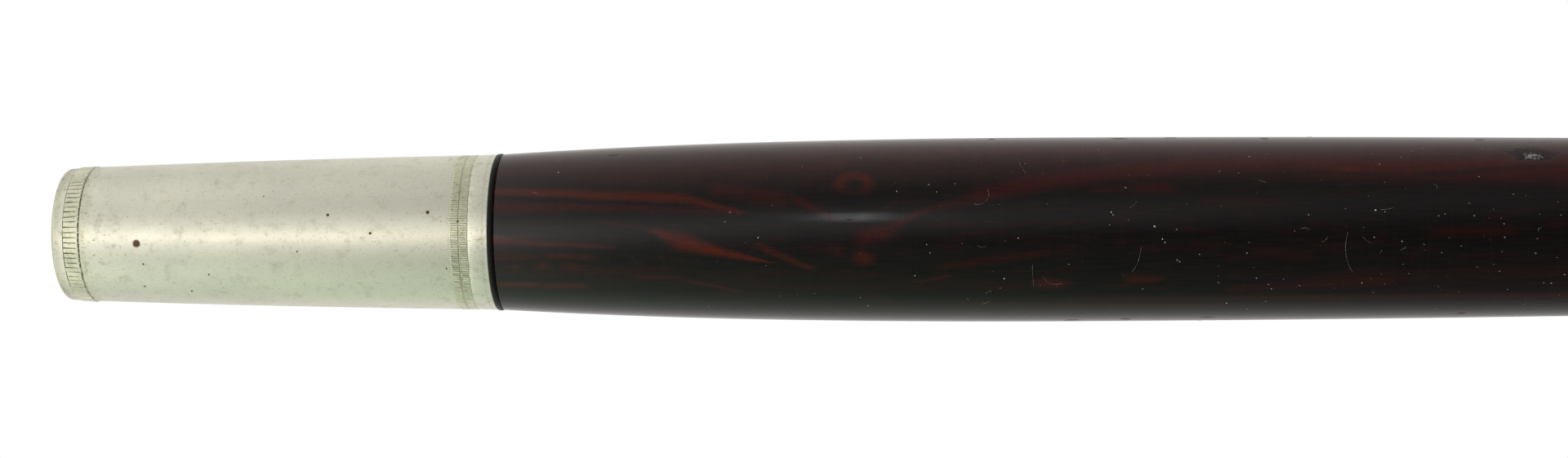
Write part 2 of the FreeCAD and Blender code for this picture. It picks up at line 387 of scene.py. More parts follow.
def tidy_normals(mesh):
    work = bmesh.new()
    work.from_mesh(mesh)
    bmesh.ops.recalc_face_normals(work, faces=work.faces)
    work.to_mesh(mesh)
    work.free()
    smooth(mesh, EDGE_ANGLE)


def smooth(mesh, degrees):
    """Smooth shading, with the edges that are sharper than this angle kept."""
    mesh.shade_smooth()
    mesh.set_sharp_from_angle(angle=math.radians(degrees))


def baked(piece, name):
    """Turn an object with modifiers into a plain mesh object."""
    graph = bpy.context.evaluated_depsgraph_get()
    mesh = bpy.data.meshes.new_from_object(piece.evaluated_get(graph))
    bpy.data.objects.remove(piece)
    mesh.name = name
    return new_object(name, mesh)


def dress(piece, material):
    piece.data.materials.clear()
    piece.data.materials.append(material)
    return piece


def at_end(end, section):
    """Set a section, measured from a rim, at the head or at the foot."""
    if end == "head":
        return [(HEAD_RIM + along, radius) for along, radius in section]
    return [(FOOT_RIM - along, radius) for along, radius in section]


# ==== pieces ====

def make_wood():
    """Body with its bore, its chamber for the cork, its tenons, and its holes cut through."""
    tenon = [(along, tenon_radius(along)) for along in (WOOD_START, SHOULDER)]
    edge = [(SHOULDER, SHOULDER_RADIUS - SHOULDER_EDGE), (SHOULDER + SHOULDER_EDGE, SHOULDER_RADIUS)]
    outside = [
        (along, wood_radius(along))
        for along in between(SHOULDER + SHOULDER_EDGE, LENGTH - SHOULDER - SHOULDER_EDGE, 240)
    ]
    other_end = [(LENGTH - along, radius) for along, radius in reversed(tenon + edge[:1])]
    inside = [
        (along, BORE_RADIUS) for along in between(LENGTH - WOOD_START, CHAMBER_END, 60)
    ] + [(CHAMBER_END, CHAMBER_RADIUS), (WOOD_START, CHAMBER_RADIUS)]
    section = tenon + edge[:1] + outside + other_end + inside
    wood = lathe("rosewood_body", [(HEAD_RIM + along, radius) for along, radius in section])
    cutters = [hole_cutter(*MOUTH_HOLE)]
    reach = HOLE_PITCH * (len(HOLE_WIDTHS) - 1) + HAND_GAP
    for hand in range(2):
        for finger, width in enumerate(HOLE_WIDTHS):
            cutters.append(hole_cutter(FIRST_HOLE + reach * hand + HOLE_PITCH * finger, width, width))
    for cutter in cutters:
        cut = wood.modifiers.new(cutter.name, "BOOLEAN")
        cut.object, cut.operation, cut.solver = cutter, "DIFFERENCE", "EXACT"
    wood = baked(wood, "rosewood_body")
    for cutter in cutters:
        bpy.data.objects.remove(cutter)
    tidy_normals(wood.data)
    return wood


def hole_cutter(place, length, width, sides=64):
    """A plug out of the +Y side, as wide as a hole, from inside the bore to clear of the wood."""
    mesh = bpy.data.meshes.new("cutter")
    corners, faces = [], []
    for level in (1 * MM, BELLY_RADIUS + 2 * MM):
        for step in range(sides):
            angle = math.tau * step / sides
            x = HEAD_RIM + place + length / 2 * math.cos(angle)
            corners.append((x, level, width / 2 * math.sin(angle)))
    for step in range(sides):
        beside = (step + 1) % sides
        faces.append((step, beside, sides + beside, sides + step))
    faces.append(tuple(range(sides)))
    faces.append(tuple(range(sides, 2 * sides)))
    mesh.from_pydata(corners, [], faces)
    tidy_normals(mesh)
    return new_object("cutter", mesh)


def make_sleeve(end):
    outside = [(along, sleeve_radius(along)) for along in between(RING_END, COLLAR_START, 48)]
    seat = SLEEVE_TIP_RADIUS - SEAT_DEPTH
    collar_seat = SLEEVE_RADIUS - COLLAR_SEAT_DEPTH
    section = [
        (FLANGE, TENON_TIP_RADIUS), (FLANGE, seat), (RING_END, seat), *outside,
        (COLLAR_START, collar_seat), (FERRULE_END, collar_seat),
        (FERRULE_END, tenon_radius(FERRULE_END)),
    ]
    return lathe(f"{end}_sleeve", at_end(end, section))


def make_tip_ring(end):
    """Thick end ring: flat face, rounded rim, and a sunk band where the coarse teeth stand."""
    hole = CHAMBER_RADIUS if end == "head" else BORE_RADIUS
    rim = [
        (RIM_ROUNDING * (1 - math.cos(angle)), RIM_RADIUS - RIM_ROUNDING * (1 - math.sin(angle)))
        for angle in between(0, math.pi / 2, 8)
    ]
    low, high = COARSE_BAND
    band = [
        (low - BAND_SLOPE, ring_radius(low)),
        (low + BAND_SLOPE, ring_radius(low) - COARSE_DEPTH),
        (high - 3 * BAND_SLOPE, ring_radius(high) - COARSE_DEPTH),
        (high + BAND_SLOPE / 3, ring_radius(high)),
        (RING_END, ring_radius(RING_END) - RING_STEP),
    ]
    seat = SLEEVE_TIP_RADIUS - SEAT_DEPTH
    inside = [
        (RING_END, seat), (FLANGE, seat), (FLANGE, hole), (RIM_CHAMFER, hole), (0, hole + RIM_CHAMFER),
    ]
    return lathe(f"{end}_end_ring", at_end(end, rim + band + inside), AROUND_END_RING)


def make_collar(end):
    """Collar: flush with the sleeve, two rows for the fine teeth, and a plain band that swells out."""
    seat = SLEEVE_RADIUS - COLLAR_SEAT_DEPTH
    floor = ROW_CREST - FINE_DEPTH
    out, into = ROW_LIP
    section = [(COLLAR_START, seat), (COLLAR_START, SLEEVE_RADIUS - COLLAR_STEP)]
    for low, high in FINE_ROWS:
        start, stop = COLLAR_START + low, COLLAR_START + high
        section += [
            (start - out, SLEEVE_RADIUS), (start + into, floor),
            (stop - into, floor), (stop + out, SLEEVE_RADIUS),
        ]
    section += [(COLLAR_START + place * MM, ROW_CREST + rise * MM) for place, rise in PLAIN_BAND]
    length, depth = COLLAR_EDGE
    section += [
        (FERRULE_END - length, COLLAR_RADIUS),
        (FERRULE_END, COLLAR_RADIUS - depth), (FERRULE_END, seat),
    ]
    return lathe(f"{end}_collar_ring", at_end(end, section), AROUND_COLLAR)


def make_black_ring(end):
    half = (SHOULDER - FERRULE_END) / 2
    crown = [
        (FERRULE_END + half - half * math.cos(angle),
         BLACK_RADIUS - BLACK_CROWN + BLACK_CROWN * math.sin(angle))
        for angle in between(0, math.pi, 12)
    ]
    inner = [(SHOULDER, tenon_radius(SHOULDER)), (FERRULE_END, tenon_radius(FERRULE_END))]
    return lathe(f"{end}_black_ring", at_end(end, crown + inner))


# ==== geometry node trees ====

def geometry_tree(name, inputs):
    """A new tree with a geometry in and out, and named inputs for its sizes."""
    tree = bpy.data.node_groups.new(name, "GeometryNodeTree")
    tree.interface.new_socket("Geometry", in_out="INPUT", socket_type="NodeSocketGeometry")
    tree.interface.new_socket("Geometry", in_out="OUTPUT", socket_type="NodeSocketGeometry")
    for label, kind in inputs.items():
        tree.interface.new_socket(label, in_out="INPUT", socket_type=f"NodeSocket{kind}")
    graph = Graph(tree)
    source = graph.node("NodeGroupInput")
    given = {label: source.other(label) for label in ("Geometry", *inputs)}
    return graph, given


def chance_between(graph, low, high, seed):
    """A random number, or a random vector, for each point."""
    if isinstance(low, float):
        kind = {"data_type": "FLOAT"}
        return graph.node("FunctionNodeRandomValue", kind, {2: low, 3: high, "Seed": seed}, 1)
    kind = {"data_type": "FLOAT_VECTOR"}
    return graph.node("FunctionNodeRandomValue", kind, {0: low, 1: high, "Seed": seed}, 0)


def end_tree(graph, geometry, material):
    solid = graph.node("GeometryNodeRealizeInstances", {}, {0: geometry})
    painted = graph.node("GeometryNodeSetMaterial", {}, {"Geometry": solid, "Material": material})
    graph.node("NodeGroupOutput", {}, {0: painted})


def grown(name, tree, base, values, sharp=50):
    """Run a tree on a mesh with these inputs, and keep the result as a plain mesh."""
    piece = new_object(name, base)
    modifier = piece.modifiers.new(name, "NODES")
    modifier.node_group = tree
    for item in tree.interface.items_tree:
        if item.in_out == "INPUT" and item.name in values:
            modifier[item.identifier] = values[item.name]
    piece = baked(piece, name)
    smooth(piece.data, sharp)
    return piece


def teeth_tree():
    """Low flat-topped teeth in a ring about X, each a little different, as worn milling is."""
    graph, given = geometry_tree("milled_teeth", {
        "Count": "Int", "Radius": "Float", "Place": "Float", "Length": "Float", "Width": "Float",
        "Height": "Float", "Tilt": "Float", "Wear": "Float", "Seed": "Int", "Material": "Material",
    })
    bar = graph.node("GeometryNodeMeshCone", {}, {
        "Vertices": 4, "Radius Top": TOOTH_TOP, "Radius Bottom": 1.0, "Depth": 1.0})
    bar = graph.node("GeometryNodeTransform", {}, {
        "Geometry": bar, "Rotation": (0, 0, math.pi / 4)})
    corner = math.sqrt(0.5)
    size = graph.vector(given["Length"] * corner, given["Width"] * corner, given["Height"])
    bar = graph.node("GeometryNodeTransform", {}, {"Geometry": bar, "Scale": size})
    lean = graph.vector(0.0, given["Tilt"] * -1.0, 0.0)
    bar = graph.node("GeometryNodeTransform", {}, {"Geometry": bar, "Rotation": lean})
    ring = graph.node("GeometryNodeMeshCircle", {}, {
        "Vertices": given["Count"], "Radius": given["Radius"]})
    shift = graph.vector(given["Place"], 0.0, 0.0)
    ring = graph.node("GeometryNodeTransform", {}, {
        "Geometry": ring, "Rotation": (0, math.pi / 2, 0), "Translation": shift})
    _, y, z = graph.axes(graph.node("GeometryNodeInputPosition"))
    angle = z.math("ARCTAN2", y) - math.pi / 2
    turn = graph.vector(angle, 0.0, chance_between(graph, -TOOTH_SKEW, TOOTH_SKEW, given["Seed"]))
    left = 1.0 - given["Wear"]
    smallest = graph.vector(1.0 - given["Wear"] / 3, left, left)
    scale = chance_between(graph, smallest, (1.0, 1.0, 1.0), given["Seed"])
    teeth = graph.node("GeometryNodeInstanceOnPoints", {}, {
        "Points": ring, "Instance": bar, "Rotation": turn, "Scale": scale})
    end_tree(graph, teeth, given["Material"])
    return graph.tree


def specks_tree():
    """Flat crumbs of dust scattered over a surface: none before Start, and thickest from End on."""
    graph, given = geometry_tree("dust_specks", {
        "Density": "Float", "Smallest": "Float", "Largest": "Float", "Start": "Float", "End": "Float",
        "Seed": "Int", "Material": "Material",
    })
    x = graph.axes(graph.node("GeometryNodeInputPosition"))[0]
    share = ((x - given["Start"]) / (given["End"] - given["Start"])).clamp()
    points = graph.node("GeometryNodeDistributePointsOnFaces", {"distribute_method": "RANDOM"}, {
        "Mesh": given["Geometry"], "Density": share * given["Density"], "Seed": given["Seed"]})
    crumb = graph.node("GeometryNodeMeshIcoSphere", {}, {"Radius": 1.0, "Subdivisions": 1})
    crumb = graph.node("GeometryNodeTransform", {}, {"Geometry": crumb, "Scale": (1.0, 0.7, 0.3)})
    rare = chance_between(graph, 0.0, 1.0, given["Seed"]).math("POWER", 3.0)
    size = given["Smallest"] + (given["Largest"] - given["Smallest"]) * rare
    dust = graph.node("GeometryNodeInstanceOnPoints", {}, {
        "Points": points, "Instance": crumb, "Rotation": points.other("Rotation"),
        "Scale": graph.vector(size, size, size)})
    end_tree(graph, dust, given["Material"])
    return graph.tree


def crumbs_tree():
    """A lump on every vertex of a mesh, as big as its size attribute says."""
    graph, given = geometry_tree("crumbs", {"Seed": "Int", "Material": "Material"})
    lump = graph.node("GeometryNodeMeshIcoSphere", {}, {"Radius": 1.0, "Subdivisions": 1})
    size = graph.node("GeometryNodeInputNamedAttribute", {"data_type": "FLOAT"}, {"Name": "size"})
    turn = chance_between(graph, (0.0, 0.0, 0.0), (6.0, 6.0, 6.0), given["Seed"])
    lumps = graph.node("GeometryNodeInstanceOnPoints", {}, {
        "Points": given["Geometry"], "Instance": lump, "Rotation": turn,
        "Scale": graph.vector(size, size * 0.75, size * 0.6)})
    end_tree(graph, lumps, given["Material"])
    return graph.tree


def strand_tree():
    """Thin round strands along the edges of a mesh."""
    graph, given = geometry_tree("strands", {"Radius": "Float", "Material": "Material"})
    path = graph.node("GeometryNodeMeshToCurve", {}, {0: given["Geometry"]})
    section = graph.node("GeometryNodeCurvePrimitiveCircle", {}, {
        "Resolution": 5, "Radius": given["Radius"]})
    strands = graph.node("GeometryNodeCurveToMesh", {}, {"Curve": path, "Profile Curve": section})
    end_tree(graph, strands, given["Material"])
    return graph.tree


# ==== materials ====

def nickel_silver():
    """Pale satin white brass: turned, scratched and pitted, greener and browner where dirt sits."""
    surface = Surface("satin_nickel_silver")
    inward, collar = surface.inward(), COLLAR_START / MM
    cloud = surface.noise(surface.place, 0.16, 4, 0.6)
    fine = surface.noise(surface.place, 6.0, 3, 0.6)
    # the milled bands, by their distance from the rim in millimetres
    rim_band = inward.step(1.2, 1.9) * inward.step(5.0, 3.4)
    collar_band = inward.step(collar - 0.4, collar + 0.3) * inward.step(collar + 2.5, collar + 2.0)
    dirt = ferrule_dirt(surface, fine, rim_band, collar_band)
    # cleaner metal, made paler towards the collar by painted light, and olive where it is milled
    colour = surface.mix(cloud.step(0.3, 0.7), (0.81, 0.80, 0.665), (0.76, 0.76, 0.64))
    # painted highlight: the metal is made paler from 20 to 46 mm from the rim, standing in for the
    # brighter light towards the collar
    colour = surface.mix(inward.step(20.0, 46.0) * 0.8, colour, (0.88, 0.87, 0.73))
    colour = surface.mix(rim_band * 0.45 + collar_band * 0.60, colour, (0.80, 0.83, 0.59))
    stain_colour = surface.mix(cloud.step(0.4, 0.6), (0.38, 0.39, 0.20), (0.37, 0.33, 0.19))
    colour = surface.mix(dirt, colour, stain_colour)
    pits, pit_colour = pits_mask(surface)
    colour = surface.mix(pits, colour, pit_colour)
    # polishing lines run round the cone, scratches run every way
    lines = surface.grain(9.0, 0.0, 4, 0.7)
    scratch = scratches(surface, 0.75)
    colour = surface.mix(scratch * 0.35, colour, (0.45, 0.44, 0.36))
    height = lines * 0.25 + fine * 0.3 - scratch * 0.6 - pits * 2.0
    rough = (lines * 0.08 + cloud * 0.08 + dirt * 0.20 + 0.25).clamp()
    return surface.finish(
        Base_Color=colour, Metallic=1.0 - dirt * 0.5 - pits * 0.5, Roughness=rough,
        Normal=surface.bump(height, 0.010 * MM, 0.6),
    )


def ferrule_dirt(surface, fine, rim_band, collar_band):
    """Stains all over, dirt packed between the teeth, and dark lines beside the fine rows."""
    inward, out, collar = surface.inward(), surface.radius_out(), COLLAR_START / MM
    mottle = surface.noise(surface.place, 0.7, 6, 0.7)
    grit = surface.noise(surface.place, 3.2, 4, 0.75)
    between_rows = (inward - collar - 1.1).unsigned().step(0.25, 0.05) * 0.10
    near_black_ring = (inward - FERRULE_END / MM + 0.62).unsigned().step(0.22, 0.05) * 0.14
    crest = (inward - RIM_ROUNDING / MM) * RING_SLOPE + RIM_RADIUS / MM
    hollow = (crest - out).step(0.03, 0.10) * inward.step(3.35, 3.05) * inward.step(1.5, 1.85)
    furrow = (ROW_CREST / MM - out).step(0.008, 0.03) * collar_band
    stain = mottle.step(0.50, 0.72) * 0.34 + fine.step(0.56, 0.74) * 0.30 + grit.step(0.56, 0.68) * 0.55
    worn = inward.step(10.0, 2.0) * 0.5 + inward.step(collar - 5.0, collar) * 0.4
    dirt = stain * (worn + 0.65) + (rim_band * 0.12 + collar_band * 0.10) * (mottle + 0.4)
    dirt = dirt + between_rows + near_black_ring + inward.step(1.7, 0.3) * 0.30
    return (dirt + hollow * 0.5 + furrow * 0.22).clamp()


def scratches(surface, amount):
    """Fine straight marks: the crests of thin stretched noise at two slants."""
    marks = []
    for slant, scale in ((0.5, 1.0), (-0.35, 1.4)):
        turned_place = surface.node("ShaderNodeMapping", {}, {
            "Vector": surface.place, "Rotation": (slant, slant * 2, slant),
            "Scale": (0.22 * scale, 5.0 * scale, 5.0 * scale)})
        marks.append(surface.noise(turned_place, 1.0, 1, 0.4).step(0.74, 0.80))
    return marks[0].bigger(marks[1]) * amount


PITS = (  # place from the head rim, height above the axis, radius, in millimetres
    (10.4, -1.15, 0.56), (33.3, 2.15, 0.22), (45.2, 2.40, 0.28), (38.4, -0.05, 0.20),
    (11.0, -3.6, 0.14), (25.4, 4.4, 0.10), (18.7, -4.9, 0.12), (47.3, -4.3, 0.14),
    (10.6, -6.3, 0.14), (16.1, -6.9, 0.13), (48.8, 1.3, 0.16), (29.6, -2.2, 0.12),
)


def pits_mask(surface):
    """Corroded pits at a few places on the head ferrule, and fine pinholes all over."""
    along, up, front = surface.along_head(), surface.height(), surface.nearness()
    ragged = surface.noise(surface.place, 4.0, 3, 0.6) * 0.6 + 0.7
    mask = surface.cells(surface.place, 0.9).step(0.07, 0.03) * 0.6
    for place, height, radius in PITS:
        away = ((along - place).squared() + (up - height).squared()).root()
        mask = mask.bigger((away * ragged).step(radius, radius * 0.55) * front.step(0.0, 1.0))
    brown = surface.noise(surface.place, 6.0, 2, 0.5)
    return mask, surface.mix(brown, (0.05, 0.025, 0.012), (0.16, 0.08, 0.035))


# Streaks of the figure, in millimetres: place from the head rim and height above the axis, as seen
# from the front, at each end; half-width at each end; strength.
ORANGE_STREAKS = (
    ((52.0, 4.85), (65.0, 4.4), 0.50, 0.55, 0.85),
    ((63.0, 4.45), (76.0, 3.9), 0.55, 0.60, 0.80),
    ((75.0, 4.0), (82.3, 2.2), 0.62, 0.18, 0.65),
    ((52.0, -0.9), (55.6, -1.1), 0.55, 0.45, 0.70),
    ((55.0, -1.2), (66.8, -1.7), 0.38, 0.22, 0.50),
    ((59.5, -2.9), (64.5, -3.0), 0.35, 0.30, 0.45),
    ((55.1, -4.1), (55.9, -4.1), 0.35, 0.35, 0.45),
    ((58.5, -4.1), (59.1, -4.1), 0.45, 0.45, 0.60),
    ((61.6, -4.2), (63.2, -4.3), 0.42, 0.42, 0.50),
    ((53.5, -6.2), (58.3, -6.3), 0.42, 0.35, 0.60),
    ((58.4, -6.4), (63.6, -6.5), 0.42, 0.30, 0.50),
    ((70.0, -5.3), (75.0, -5.5), 0.22, 0.15, 0.35),
    ((76.5, -6.0), (82.0, -7.2), 0.30, 0.20, 0.35),
    ((72.0, 0.1), (75.0, -1.1), 0.30, 0.85, 0.75),
    ((74.6, -1.0), (81.0, -2.7), 0.95, 0.50, 1.00),
    ((80.5, -2.6), (86.0, -3.7), 0.55, 0.10, 0.95),
    ((84.8, -1.8), (90.6, -4.4), 0.45, 0.35, 0.50),
    ((96.5, -3.1), (97.4, -3.3), 0.80, 0.65, 0.85),
    ((93.4, -2.3), (94.2, -2.5), 0.60, 0.60, 0.30),
    ((153.9, 7.1), (155.6, 7.1), 0.28, 0.28, 0.75),
    ((128.4, -5.9), (131.8, -6.0), 0.60, 0.35, 0.40),
    ((117.8, -6.3), (120.8, -6.5), 0.60, 0.45, 0.45),
    ((103.5, -6.1), (107.0, -5.4), 0.20, 0.15, 0.35),
)
RED_STREAKS = (
    ((52.0, 3.05), (65.0, 3.0), 0.75, 0.60, 0.80),
    ((64.0, 3.0), (82.0, 2.3), 0.60, 0.40, 0.60),
    ((53.5, 2.3), (56.0, 2.3), 0.30, 0.25, 0.60),
    ((52.0, 7.4), (70.0, 7.0), 1.10, 1.40, 0.30),
    ((66.0, 6.6), (95.0, 8.4), 1.30, 1.60, 0.32),
    ((79.0, 4.9), (87.6, 3.9), 0.90, 0.95, 0.62),
    ((66.0, 1.2), (74.0, 0.0), 0.35, 0.30, 0.35),
    ((53.0, -3.0), (58.5, -2.9), 0.45, 0.35, 0.60),
    ((56.0, -5.3), (74.0, -4.4), 0.30, 0.40, 0.25),
    ((88.6, 3.9), (93.4, 1.3), 0.60, 0.25, 0.70),
    ((96.3, -0.9), (100.5, 0.0), 0.85, 0.80, 0.85),
    ((99.5, -0.1), (104.2, 2.4), 0.75, 0.25, 0.80),
    ((103.0, 2.0), (111.0, 4.0), 0.35, 0.70, 0.50),
    ((109.5, 3.9), (120.0, 6.1), 0.85, 1.15, 0.75),
    ((118.5, 6.0), (134.5, 7.5), 1.10, 1.10, 0.80),
    ((133.0, 7.6), (152.0, 8.3), 1.20, 1.35, 0.85),
    ((148.0, 7.6), (200.0, 7.2), 1.35, 2.60, 0.95),
    ((128.8, 5.0), (133.5, 5.0), 0.75, 0.70, 0.50),
    ((124.0, 4.6), (128.6, 4.8), 0.30, 0.30, 0.45),
    ((126.6, 1.1), (127.8, 1.1), 0.40, 0.40, 0.30),
    ((99.0, 8.6), (122.0, 9.9), 0.80, 0.60, 0.35),
    ((106.0, -4.4), (118.5, -2.8), 0.40, 0.45, 0.40),
    ((143.0, -2.9), (150.0, -3.2), 0.70, 0.60, 0.25),
    ((137.0, 3.0), (146.0, 3.2), 0.60, 0.50, 0.25),
    ((164.0, -0.6), (174.0, -0.4), 0.50, 0.60, 0.30),
    ((140.0, -7.2), (160.0, -6.0), 0.35, 1.10, 0.40),
    ((155.0, -6.0), (200.0, -5.2), 1.20, 2.40, 0.16),
    ((122.0, -8.3), (200.0, -8.0), 0.25, 0.45, 0.50),
    ((108.0, -8.8), (150.0, -9.3), 0.30, 0.30, 0.35),
)
DARK_STREAKS = (
    ((57.0, 3.9), (79.0, 2.6), 0.26, 0.14, 0.90),
    ((52.0, 5.8), (70.0, 5.3), 0.20, 0.20, 0.50),
    ((92.0, 3.2), (99.5, 3.2), 0.55, 0.45, 0.90),
    ((109.0, 6.9), (123.0, 7.7), 0.30, 0.35, 0.75),
    ((121.0, 7.6), (134.0, 8.5), 0.40, 0.30, 0.85),
    ((133.0, 8.5), (146.0, 9.6), 0.45, 0.20, 0.75),
    ((156.0, 8.2), (185.0, 9.0), 0.30, 0.30, 0.75),
    ((163.0, 6.4), (185.0, 7.5), 0.40, 0.35, 0.80),
    ((148.0, 6.9), (159.0, 6.2), 0.30, 0.25, 0.70),
    ((160.0, -6.6), (188.0, -6.0), 0.22, 0.30, 0.80),
    ((158.0, -4.6), (182.0, -4.4), 0.18, 0.25, 0.60),
)
EYE = (95.8, 5.35)  # pin knot: place, height
CHIP = (177.0, 8.75)  # chipped place near the top of the front: place, height
NICKS = (  # small dents: place, height, half-length along the wood
    (128.0, 10.95, 1.3), (134.2, 11.05, 1.0), (122.0, -11.0, 1.2), (128.6, -10.9, 0.9),
    (138.3, -10.7, 1.1), (145.5, 10.9, 0.6), (171.5, 10.6, 0.8), (169.0, -10.3, 0.7),
    (66.8, 9.1, 0.9), (112.5, 11.0, 0.5),
)


def streak(along, arc, edge, start, stop, width, end_width):
    """A tapering streak between two places on the surface, with a soft ragged edge."""
    begin, finish = arc_place(*start), arc_place(*stop)
    share = ((along - start[0]) / (stop[0] - start[0])).clamp()
    half = share * (end_width - width) + width
    away = (arc - (share * (finish - begin) + begin)).unsigned() + edge
    past = (along - stop[0]).bigger(start[0] - along)
    return (away / half).step(1.95, 0.05) * (past + edge).step(1.5, -1.0)


def strongest(along, arc, edge, streaks):
    """The strongest of a set of streaks at each place."""
    mask = 0.0
    for *shape, strength in streaks:
        mask = (streak(along, arc, edge, *shape) * strength).bigger(mask)
    return mask


def oval(along, arc, spot, reach, width):
    """Squared distance from a spot on the wood, in half-lengths and half-widths of an oval."""
    return ((along - spot[0]) / reach).squared() + ((arc - arc_place(*spot)) / width).squared()


def pin_knot(along, arc, edge):
    """A ring round a dark middle, open below, and faint rings further out."""
    away = oval(along, arc, EYE, 1.2, 0.95).root() + edge * 0.5
    knot = (away - 1.45).unsigned().step(1.0, 0.1) * (arc - arc_place(*EYE)).step(-1.6, 0.6)
    rings = (away * 1.7).math("SINE").step(0.2, 1.0) * away.step(9.0, 3.0)
    return knot, rings


def chipped(surface, along, arc, comb):
    """Torn grain at the chip and the nicks, and pale filler in the chip."""
    torn = (oval(along, arc, CHIP, 3.6, 1.8) + (comb - 0.5) * 2.2).step(1.0, 0.3)
    for *spot, reach in NICKS:
        dent = oval(along, arc, spot, reach, 0.55) + (comb - 0.5) * 2.0
        torn = torn.bigger(dent.step(1.0, 0.3) * 0.85)
    crumbs = surface.noise(surface.place, 2.6, 3, 0.6)
    filler = oval(along, arc + 0.5, CHIP, 1.3, 0.9) + (crumbs - 0.5) * 6.5
    return torn, filler.step(0.7, -0.6)


def rosewood():
    """Nearly black rosewood with orange and red streaks, open pores, polish lines and scuffs."""
    surface = Surface("polished_rosewood")
    along = surface.along_head()
    waves = surface.grain(0.03, 0.55, 5, 0.6)
    fibres = surface.grain(0.22, 5.0, 3, 0.6)
    comb = surface.grain(1.6, 3.5, 3, 0.7)
    arc = surface.turn() + (surface.grain(0.14, 0.3, 3, 0.6) - 0.5) * 0.9
    edge = (comb - 0.5) * 0.75 + (fibres - 0.5) * 0.55
    knot, rings = pin_knot(along, arc, edge)
    blotch = surface.grain(0.22, 0.9, 4, 0.65).step(0.50, 0.70)
    orange = strongest(along, arc, edge, ORANGE_STREAKS).bigger(knot * 0.60)
    red = strongest(along, arc, edge, RED_STREAKS).bigger(blotch * 0.20)
    unshaded = 1.0 - strongest(along, arc, edge, DARK_STREAKS)
    # everywhere else the growth layers show as faint lines that follow the outline
    layers = (surface.nearness() * 2.2 + (waves - 0.5) * 9.0).math("SINE")
    layered = layers.step(-0.2, 1.0) * waves.step(0.42, 0.62)
    dark = surface.mix(fibres.step(0.35, 0.7), (0.0052, 0.0046, 0.0047), (0.0105, 0.0085, 0.0080))
    dark = surface.mix((layered * 0.30 + rings * 0.25).clamp(), dark, (0.030, 0.0080, 0.0070))
    depth = fibres * 0.5 + comb * 0.5
    reddish = surface.mix(depth.step(0.35, 0.65), (0.040, 0.0048, 0.0044), (0.082, 0.0098, 0.0078))
    glowing = surface.mix(depth.step(0.32, 0.62), (0.062, 0.0070, 0.0028), (0.128, 0.0170, 0.0048))
    colour = surface.mix((red * unshaded * 0.9).clamp(), dark, reddish)
    colour = surface.mix((orange * unshaded).clamp(), colour, glowing)
    pores = surface.cells(surface.stretch(0.42, 3.2), 1.0).step(0.20, 0.10) * comb.step(0.35, 0.6)
    colour = surface.mix(pores * 0.5, colour, (0.0035, 0.003, 0.003))
    # painted light: the wood is made paler and browner in patches towards the top as it shows from the
    # front; and lines left round the body by the polisher's rag
    haze = surface.noise(surface.place, 0.5, 4, 0.6)
    polish = surface.grain(3.0, 0.05, 3, 0.7)
    top_light_and_rag_lines = surface.height().step(4.0, 10.5) * (haze * 0.6 + 0.3) + (polish - 0.45) * 0.10
    # painted light on the upper side, plus the real rag lines
    colour = surface.mix(top_light_and_rag_lines.clamp(), colour, (0.100, 0.044, 0.042))
    torn, filler = chipped(surface, along, arc, comb)
    colour = surface.mix(torn * 0.8, colour, (0.008, 0.006, 0.006))
    colour = surface.mix(filler * 0.8, colour, (0.42, 0.42, 0.40))
    scuff = scratches(surface, 1.0)
    rough = (haze * 0.08 + polish * 0.04 + scuff * 0.12 + pores * 0.15 + torn * 0.3 + 0.07).clamp()
    height = polish * 0.4 + fibres * 0.6 - pores * 1.4 - scuff * 0.4 - torn * 6.0 + filler * 5.0
    return surface.finish(
        Base_Color=colour, Roughness=rough, IOR=1.45, Normal=surface.bump(height, 0.006 * MM, 0.5),
    )


def black_rubber():
    surface = Surface("black_hard_rubber")
    grain = surface.noise(surface.place, 3.0, 4, 0.6)
    colour = surface.mix(grain.step(0.4, 0.75), (0.006, 0.006, 0.006), (0.016, 0.015, 0.014))
    return surface.finish(
        Base_Color=colour, Roughness=grain * 0.3 + 0.25, IOR=1.25,
        Normal=surface.bump(grain, 0.02 * MM, 0.4),
    )


def cork_material():
    surface = Surface("cork")
    cells = surface.cells(surface.place, 2.2)
    holes = surface.noise(surface.place, 0.9, 5, 0.7).step(0.62, 0.72)
    colour = surface.mix(cells.step(0.1, 0.5), (0.17, 0.09, 0.045), (0.47, 0.30, 0.17))
    colour = surface.mix(holes, colour, (0.08, 0.04, 0.02))
    bump = surface.bump(cells - holes * 1.5, 0.08 * MM, 0.8)
    return surface.finish(Base_Color=colour, Roughness=0.85, Normal=bump)


THREAD_PITCH = 0.35  # millimetres from turn to turn


def thread_material():
    """Waxed thread, wound turn beside turn, with painted shade in the grooves between the turns."""
    surface = Surface("waxed_thread")
    turn_relief_and_groove_shade = (surface.x * (math.tau / THREAD_PITCH)).math("SINE") * 0.5 + 0.5
    fuzz = surface.noise(surface.place, 5.0, 3, 0.6)
    # painted shade: the thread is darker in the grooves between the turns
    colour = surface.mix((turn_relief_and_groove_shade * 0.7 + fuzz * 0.3).clamp(), (0.16, 0.10, 0.045), (0.52, 0.41, 0.24))
    return surface.finish(Base_Color=colour, Roughness=0.6, Normal=surface.bump(turn_relief_and_groove_shade, 0.1 * MM, 0.8))


def plain_fluff(name, light, dark):
    surface = Surface(name)
    patch = surface.noise(surface.place, 3.0, 2, 0.5)
    colour = surface.mix(patch.step(0.35, 0.65), light, dark)
    return surface.finish(Base_Color=colour, Roughness=0.85)


# ==== dust ====

def surface_point(along, arc, lift=0.0):
    """A point on the wood at a distance from the head rim and an arc length from the front."""
    radius = wood_radius(along * MM) + lift
    angle = arc / (BELLY_RADIUS / MM)
    out = TOWARDS * math.cos(angle) + UPWARDS * math.sin(angle)
    return Vector((HEAD_RIM + along * MM, 0, 0)) + out * radius


HAIR_RADIUS = 0.012 * MM
HAIR_LIFT = 0.02 * MM  # height of a hair's ends over the wood
HAIR_ARCH = 0.05 * MM  # how much higher its middle stands
LOOSE_HAIRS = 70


